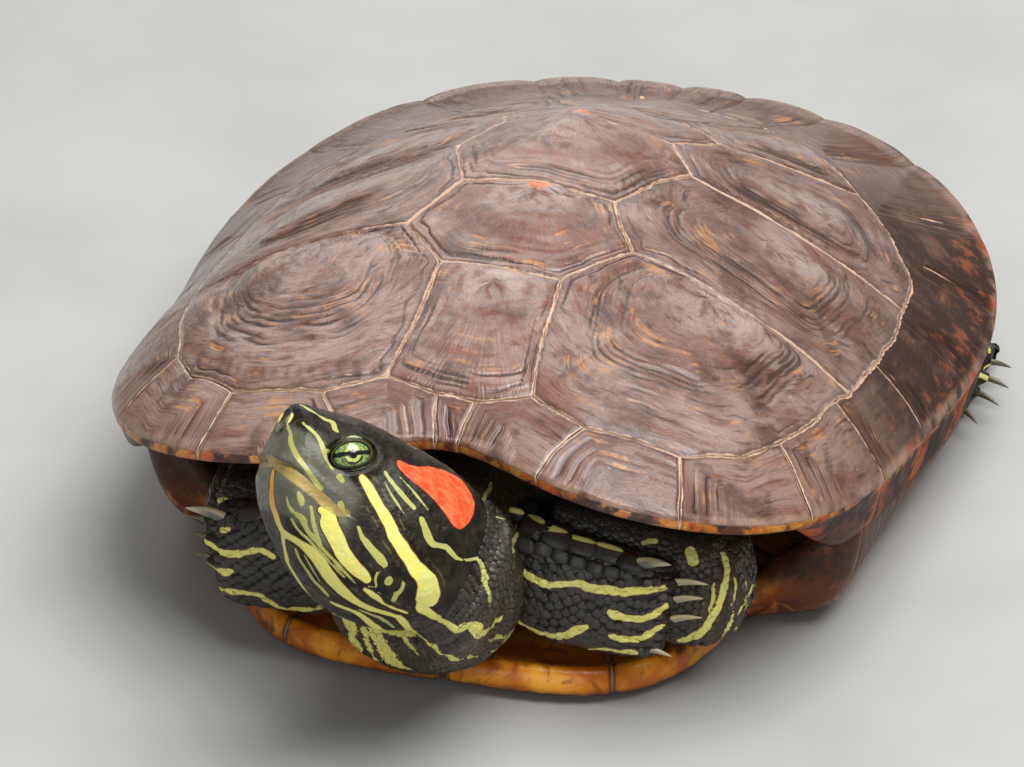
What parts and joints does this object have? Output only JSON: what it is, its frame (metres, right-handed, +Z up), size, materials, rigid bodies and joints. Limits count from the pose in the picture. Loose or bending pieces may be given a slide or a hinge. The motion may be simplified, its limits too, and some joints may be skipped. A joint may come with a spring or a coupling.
{
  "type": "red-eared slider turtle, life-size model",
  "caption": "Adult female pond slider resting on its plastron, head raised and turned to its right, forelimbs folded across the front of the shell, hind feet spread on the ground.",
  "frame": {"origin": "middle of the plastron's underside, on the ground, below the middle of the shell", "axes": "+Z up, +Y from the head end to the tail, +X to the turtle's own left"},
  "size_m": [0.1902, 0.264, 0.084],
  "materials": {
    "scute": "horn, satin, brown with worn reddish growth rings",
    "rim": "horn, satin, brown above and orange-marked black beneath",
    "plastron": "horn, gloss, amber with dark smudges",
    "eye": "wet, gloss, green with a dark bar",
    "skin": "soft scaly skin, black-olive with yellow stripes and a red ear patch"
  },
  "bodies": {
    "root": {"nuchal": "scute", "vertebral_1": "scute", "vertebral_2": "scute", "vertebral_3": "scute", "vertebral_4": "scute", "vertebral_5": "scute", "costal_1_left": "scute", "costal_1_right": "scute", "costal_2_left": "scute", "costal_2_right": "scute", "costal_3_left": "scute", "costal_3_right": "scute", "costal_4_left": "scute", "costal_4_right": "scute", "marginals_left": "rim", "marginals_right": "rim", "gulars": "plastron", "humerals": "plastron", "pectorals": "plastron", "abdominals": "plastron", "femorals": "plastron", "anals": "plastron", "eye_left": "eye", "eye_right": "eye", "head": "skin", "lower_jaw": "skin", "neck": "skin", "trunk": "skin", "tail": "skin", "upper_arm_left": "skin", "upper_arm_right": "skin", "forearm_left": "skin", "forearm_right": "skin", "hand_left": "skin", "hand_right": "skin", "thigh_left": "skin", "thigh_right": "skin", "shank_left": "skin", "shank_right": "skin", "foot_left": "skin", "foot_right": "skin"}
  },
  "joints": []
}
